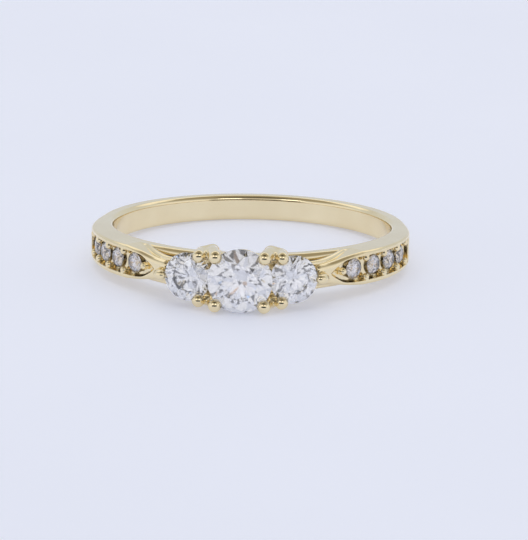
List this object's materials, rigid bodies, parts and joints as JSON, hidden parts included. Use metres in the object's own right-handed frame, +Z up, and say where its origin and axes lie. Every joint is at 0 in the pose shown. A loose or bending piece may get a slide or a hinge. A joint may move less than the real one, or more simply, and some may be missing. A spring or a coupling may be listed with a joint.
{
  "type": "three stone ring",
  "caption": "Gold three stone ring with claw set round brilliants and a channel of small stones in each shoulder, lying on its side.",
  "frame": {"origin": "on the surface that the ring lies on, under the middle of its length", "axes": "+Z up from the surface, -Y from the finger hole towards the three stones, +X along the row of stones"},
  "size_m": [0.0204, 0.0234, 0.004],
  "materials": {
    "gold": "polished pale yellow gold",
    "clear_stone": "cut and polished colourless stone",
    "small_stone": "cut and polished near colourless stone"
  },
  "bodies": {
    "root": {"gold_mount": "gold", "centre_stone": "clear_stone", "side_stone_left": "clear_stone", "side_stone_right": "clear_stone", "shoulder_stone_left_1": "small_stone", "shoulder_stone_left_2": "small_stone", "shoulder_stone_left_3": "small_stone", "shoulder_stone_left_4": "small_stone", "shoulder_stone_right_1": "small_stone", "shoulder_stone_right_2": "small_stone", "shoulder_stone_right_3": "small_stone", "shoulder_stone_right_4": "small_stone"}
  },
  "joints": []
}
